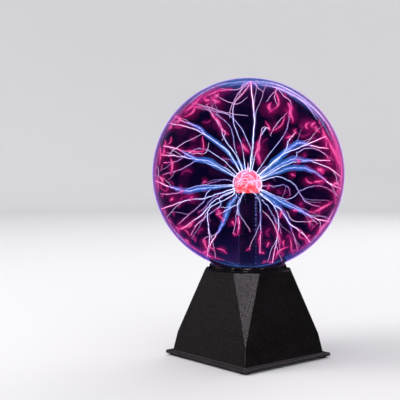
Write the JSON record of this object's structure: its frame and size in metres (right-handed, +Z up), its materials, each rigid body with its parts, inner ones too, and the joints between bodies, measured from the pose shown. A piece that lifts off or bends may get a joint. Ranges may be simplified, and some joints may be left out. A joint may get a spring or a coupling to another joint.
{
  "type": "plasma ball",
  "caption": "Plasma ball: clear glass globe with a central electrode stem, seated in a round collar on a black square tapered base with a rocker switch and low-voltage inlet.",
  "frame": {"origin": "middle of the footprint, at the bottom of the rubber feet", "axes": "+Z up through the stem and globe; +Y towards the back face, which carries the switch and the inlet; the base's sides face X and Y"},
  "size_m": [0.2, 0.2, 0.292],
  "materials": {
    "globe_glass": "clear blown glass, faint violet cast from the gas glow",
    "stem_glass": "clear blown glass",
    "steel_wool": "fine tangled wool, lit coral red by the discharge",
    "liner_plastic": "black ribbed sleeve",
    "bright_steel": "zinc plated",
    "silicone": "translucent off-white silicone",
    "brass": "turned, bright",
    "base_plastic": "fine-grained moulded ABS",
    "collar_plastic": "polished",
    "black_rubber": "matte",
    "switch_plastic": "satin nylon",
    "rocker_plastic": "satin gloss",
    "inlet_plastic": "satin",
    "circuit_board": "green solder mask",
    "ferrite": "dark grey ferrite",
    "bobbin_plastic": "glass-filled nylon",
    "coil_tape": "yellow polyester tape",
    "aluminium": "extruded, plain",
    "component_black": "epoxy moulding",
    "capacitor_sleeve": "shrink sleeve",
    "film_capacitor": "dipped red",
    "copper_wire": "enamelled copper",
    "resistor_coating": "tan lacquer",
    "connector_nylon": "natural nylon",
    "red_wire": "PVC insulation",
    "black_wire": "PVC insulation",
    "white_wire": "silicone insulation"
  },
  "bodies": {
    "base": {"base_shell": "base_plastic", "board_screws": "bright_steel", "board_standoffs": "brass", "bottom_plate": "base_plastic", "bottom_screws": "bright_steel", "choke_core": "ferrite", "choke_winding": "copper_wire", "coil_bobbin": "bobbin_plastic", "collar_ring": "collar_plastic", "collar_screws": "bright_steel", "dc_jack": "inlet_plastic", "dc_jack_nut": "bright_steel", "dc_jack_pin": "bright_steel", "dc_jack_terminals": "brass", "driver_board": "circuit_board", "driver_chip": "component_black", "electrode_filling": "steel_wool", "electrode_rod": "bright_steel", "electrolytic_capacitors": "capacitor_sleeve", "exhaust_tip": "stem_glass", "film_capacitor": "film_capacitor", "globe_gasket": "black_rubber", "globe_glass": "globe_glass", "heatsink": "aluminium", "heatsink_screw": "bright_steel", "high_voltage_wire": "white_wire", "lead_terminal": "brass", "neck_bush": "black_rubber", "neck_clamp": "base_plastic", "power_connector": "connector_nylon", "power_transistor": "component_black", "resistors": "resistor_coating", "return_wire": "black_wire", "rubber_feet": "black_rubber", "stem_bung": "silicone", "stem_glass": "stem_glass", "stem_liner": "liner_plastic", "supply_wire": "red_wire", "switch_body": "switch_plastic", "switch_terminals": "brass", "switched_wire": "red_wire", "transformer_coil": "coil_tape", "transformer_core": "ferrite"},
    "rocker": {"switch_rocker": "rocker_plastic"}
  },
  "joints": [
    {"name": "power_rocker", "type": "hinge", "parent": "base", "child": "rocker", "pos_m": [0.024, 0.05048, 0.03391], "axis": [-1, 0, 0], "range_deg": [0, 22]}
  ]
}
